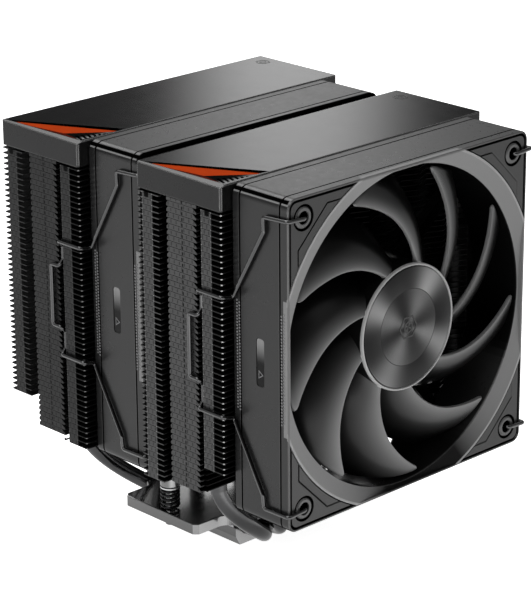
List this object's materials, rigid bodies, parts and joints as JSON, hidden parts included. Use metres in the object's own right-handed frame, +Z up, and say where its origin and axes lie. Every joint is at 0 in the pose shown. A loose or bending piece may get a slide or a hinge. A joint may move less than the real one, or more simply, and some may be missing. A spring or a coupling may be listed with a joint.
{
  "type": "cpu tower cooler",
  "caption": "Twin-tower processor cooler: finned stacks on heat pipes over a cold plate, with wire-clipped fans and a sprung crossbar.",
  "frame": {"origin": "centre of the cold plate's contact face", "axes": "+Z up away from the processor, +Y along the airflow from the front fan to the rear tower, +X to the right seen from the front fan"},
  "size_m": [0.1332, 0.1454, 0.158],
  "materials": {
    "nickel": "bright nickel plating",
    "pipe_nickel": "dark nickel plating",
    "bar_nickel": "mirror-polished nickel",
    "clamp_metal": "machined",
    "screw_steel": "plated steel",
    "spring_black": "black spring steel",
    "fin_black": "black coating",
    "cover_black": "satin black anodised, brushed",
    "inlay_orange": "satin copper-orange lacquer",
    "fan_plastic": "fine satin black",
    "pad_rubber": "matt black",
    "insert_gloss": "gloss black",
    "rotor_plastic": "satin black",
    "cap_metal": "spun dark metal",
    "yoke_steel": "plain",
    "ferrite": "sintered",
    "shaft_steel": "ground",
    "nylon": "natural",
    "bronze": "sintered",
    "lamination": "laminated",
    "copper_wire": "enamelled windings",
    "board_green": "solder mask",
    "lead_black": "sleeved",
    "wire_steel": "black nickel"
  },
  "bodies": {
    "cooler": {"base_plate": "nickel", "base_clamp_block": "clamp_metal", "mounting_bracket": "bar_nickel", "bracket_screws": "screw_steel", "heat_pipe_1": "pipe_nickel", "heat_pipe_2": "pipe_nickel", "heat_pipe_3": "pipe_nickel", "heat_pipe_4": "pipe_nickel", "heat_pipe_5": "pipe_nickel", "heat_pipe_6": "pipe_nickel", "front_tower_fins": "fin_black", "rear_tower_fins": "fin_black", "front_top_cover": "cover_black", "rear_top_cover": "cover_black", "front_cover_inlay": "inlay_orange", "rear_cover_inlay": "inlay_orange", "front_fan_frame": "fan_plastic", "front_fan_corner_pads": "pad_rubber", "front_fan_side_insert": "insert_gloss", "front_fan_bearing_sleeve": "bronze", "front_fan_stator_core": "lamination", "front_fan_stator_coils": "copper_wire", "front_fan_circuit_board": "board_green", "front_fan_lead": "lead_black", "front_fan_plug": "fan_plastic", "middle_fan_frame": "fan_plastic", "middle_fan_corner_pads": "pad_rubber", "middle_fan_side_insert": "insert_gloss", "middle_fan_bearing_sleeve": "bronze", "middle_fan_stator_core": "lamination", "middle_fan_stator_coils": "copper_wire", "middle_fan_circuit_board": "board_green", "middle_fan_lead": "lead_black", "middle_fan_plug": "fan_plastic"},
    "front_fan_rotor": {"front_fan_impeller": "rotor_plastic", "front_fan_hub_cap": "cap_metal", "front_fan_rotor_yoke": "yoke_steel", "front_fan_magnet_ring": "ferrite", "front_fan_shaft": "shaft_steel", "front_fan_shaft_retainer": "nylon"},
    "middle_fan_rotor": {"middle_fan_impeller": "rotor_plastic", "middle_fan_hub_cap": "cap_metal", "middle_fan_rotor_yoke": "yoke_steel", "middle_fan_magnet_ring": "ferrite", "middle_fan_shaft": "shaft_steel", "middle_fan_shaft_retainer": "nylon"},
    "front_left_wire_clip": {"front_fan_left_clip": "wire_steel"},
    "front_right_wire_clip": {"front_fan_right_clip": "wire_steel"},
    "middle_left_wire_clip": {"middle_fan_left_clip": "wire_steel"},
    "middle_right_wire_clip": {"middle_fan_right_clip": "wire_steel"},
    "left_spring_seat": {"left_screw_washer": "screw_steel", "left_spring": "spring_black"},
    "left_board_screw": {"left_spring_screw": "nickel", "left_retaining_ring": "spring_black"},
    "right_spring_seat": {"right_screw_washer": "screw_steel", "right_spring": "spring_black"},
    "right_board_screw": {"right_spring_screw": "nickel", "right_retaining_ring": "spring_black"}
  },
  "joints": [
    {"name": "front_fan_spin", "type": "hinge", "parent": "cooler", "child": "front_fan_rotor", "pos_m": [0, -0.07185, 0.0977], "axis": [0, -1, 0], "continuous": true},
    {"name": "middle_fan_spin", "type": "hinge", "parent": "cooler", "child": "middle_fan_rotor", "pos_m": [0, 0.00225, 0.0977], "axis": [0, -1, 0], "continuous": true},
    {"name": "front_left_clip_swing", "type": "hinge", "parent": "cooler", "child": "front_left_wire_clip", "pos_m": [-0.0526, -0.08425, 0.0977], "axis": [0, 0, 1], "range_deg": [0, 14]},
    {"name": "front_right_clip_swing", "type": "hinge", "parent": "cooler", "child": "front_right_wire_clip", "pos_m": [0.0526, -0.08425, 0.0977], "axis": [0, 0, -1], "range_deg": [0, 14]},
    {"name": "middle_left_clip_swing", "type": "hinge", "parent": "cooler", "child": "middle_left_wire_clip", "pos_m": [-0.0526, -0.01015, 0.0977], "axis": [0, 0, 1], "range_deg": [0, 14]},
    {"name": "middle_right_clip_swing", "type": "hinge", "parent": "cooler", "child": "middle_right_wire_clip", "pos_m": [0.0526, -0.01015, 0.0977], "axis": [0, 0, -1], "range_deg": [0, 14]},
    {"name": "left_screw_press", "type": "slide", "parent": "cooler", "child": "left_spring_seat", "axis": [0, 0, -1], "range_m": [0, 0.003], "stiffness_N_per_m": 6000, "springref_m": -0.001, "deforming": ["left_spring"]},
    {"name": "left_screw_turn", "type": "hinge", "parent": "left_spring_seat", "child": "left_board_screw", "pos_m": [-0.0385, 0, 0.0142], "axis": [0, 0, -1], "continuous": true},
    {"name": "right_screw_press", "type": "slide", "parent": "cooler", "child": "right_spring_seat", "axis": [0, 0, -1], "range_m": [0, 0.003], "stiffness_N_per_m": 6000, "springref_m": -0.001, "deforming": ["right_spring"]},
    {"name": "right_screw_turn", "type": "hinge", "parent": "right_spring_seat", "child": "right_board_screw", "pos_m": [0.0385, 0, 0.0142], "axis": [0, 0, -1], "continuous": true}
  ]
}
